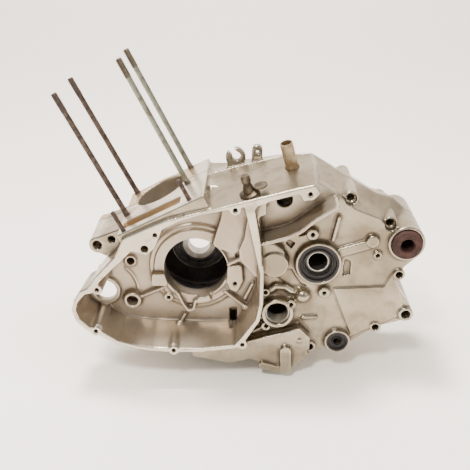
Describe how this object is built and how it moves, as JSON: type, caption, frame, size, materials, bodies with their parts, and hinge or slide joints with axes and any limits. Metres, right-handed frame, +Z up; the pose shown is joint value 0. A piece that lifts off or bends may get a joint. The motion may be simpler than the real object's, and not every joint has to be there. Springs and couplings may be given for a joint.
{
  "type": "engine crankcase",
  "caption": "Bare split engine crankcase with crank chamber, gear room, generator and clutch chambers, tilted cylinder deck with studs, bearings, seals and mounting bores.",
  "frame": {"origin": "on the crankshaft axis, at the near end of the left main bearing bore", "axes": "+X to the rear of the engine, +Y from the generator side to the clutch side, +Z up as pictured"},
  "size_m": [0.4603, 0.183, 0.4148],
  "materials": {
    "cast_alloy": "cast, aged",
    "stud_rusty": "rusty",
    "stud_plated": "zinc plated, dull",
    "bearing_steel": "ground",
    "ball_steel": "polished",
    "cage_steel": "pressed",
    "seal_rubber": "matt",
    "bush_rusty": "rusty",
    "tube_brass": "tarnished",
    "fitting_brass": "tarnished",
    "washer_brass": "dull",
    "plated_steel": "zinc plated, dull"
  },
  "bodies": {
    "crankcase": {"left_crankcase_half": "cast_alloy", "right_crankcase_half": "cast_alloy", "cylinder_stud_front_left": "stud_rusty", "cylinder_stud_front_right": "stud_rusty", "cylinder_stud_rear_left": "stud_plated", "cylinder_stud_rear_right": "stud_plated", "base_stud_front": "stud_rusty", "base_stud_rear": "stud_rusty", "output_shaft_seal": "seal_rubber", "shift_shaft_seal": "seal_rubber", "drum_shell_left": "bearing_steel", "drum_shell_right": "bearing_steel", "mainshaft_needle_shell": "bearing_steel", "output_needle_shell": "bearing_steel", "pivot_bush_left": "bush_rusty", "pivot_bush_right": "bush_rusty", "breather_tube": "tube_brass", "vent_fitting": "fitting_brass", "vent_clip": "fitting_brass", "case_bolts": "plated_steel", "locating_dowels": "plated_steel", "drain_washer": "washer_brass", "drain_plug": "plated_steel", "main_bearing_outer_ring": "bearing_steel", "output_bearing_outer_ring": "bearing_steel", "input_bearing_outer_ring": "bearing_steel"},
    "main_inner_ring": {"main_bearing_inner_ring": "bearing_steel"},
    "main_balls_and_cage": {"main_bearing_balls": "ball_steel", "main_bearing_cage": "cage_steel"},
    "output_inner_ring": {"output_bearing_inner_ring": "bearing_steel"},
    "output_balls_and_cage": {"output_bearing_balls": "ball_steel", "output_bearing_cage": "cage_steel"},
    "input_inner_ring": {"input_bearing_inner_ring": "bearing_steel"},
    "input_balls_and_cage": {"input_bearing_balls": "ball_steel", "input_bearing_cage": "cage_steel"}
  },
  "joints": [
    {"name": "main_ring_spin", "type": "hinge", "parent": "crankcase", "child": "main_inner_ring", "pos_m": [0, 0.0805, 0], "axis": [0, 1, 0], "continuous": true},
    {"name": "main_cage_spin", "type": "hinge", "parent": "crankcase", "child": "main_balls_and_cage", "pos_m": [0, 0.0805, 0], "axis": [0, 1, 0], "continuous": true},
    {"name": "output_ring_spin", "type": "hinge", "parent": "crankcase", "child": "output_inner_ring", "pos_m": [0.157, -0.0035, 0.015], "axis": [0, 1, 0], "continuous": true},
    {"name": "output_cage_spin", "type": "hinge", "parent": "crankcase", "child": "output_balls_and_cage", "pos_m": [0.157, -0.0035, 0.015], "axis": [0, 1, 0], "continuous": true},
    {"name": "input_ring_spin", "type": "hinge", "parent": "crankcase", "child": "input_inner_ring", "pos_m": [0.101, 0.089, 0.018], "axis": [0, 1, 0], "continuous": true},
    {"name": "input_cage_spin", "type": "hinge", "parent": "crankcase", "child": "input_balls_and_cage", "pos_m": [0.101, 0.089, 0.018], "axis": [0, 1, 0], "continuous": true}
  ],
  "couplings": [
    {"joint": "main_cage_spin", "follows": "main_ring_spin", "ratio": 0.37451},
    {"joint": "output_cage_spin", "follows": "output_ring_spin", "ratio": 0.3961},
    {"joint": "input_cage_spin", "follows": "input_ring_spin", "ratio": 0.39254}
  ]
}
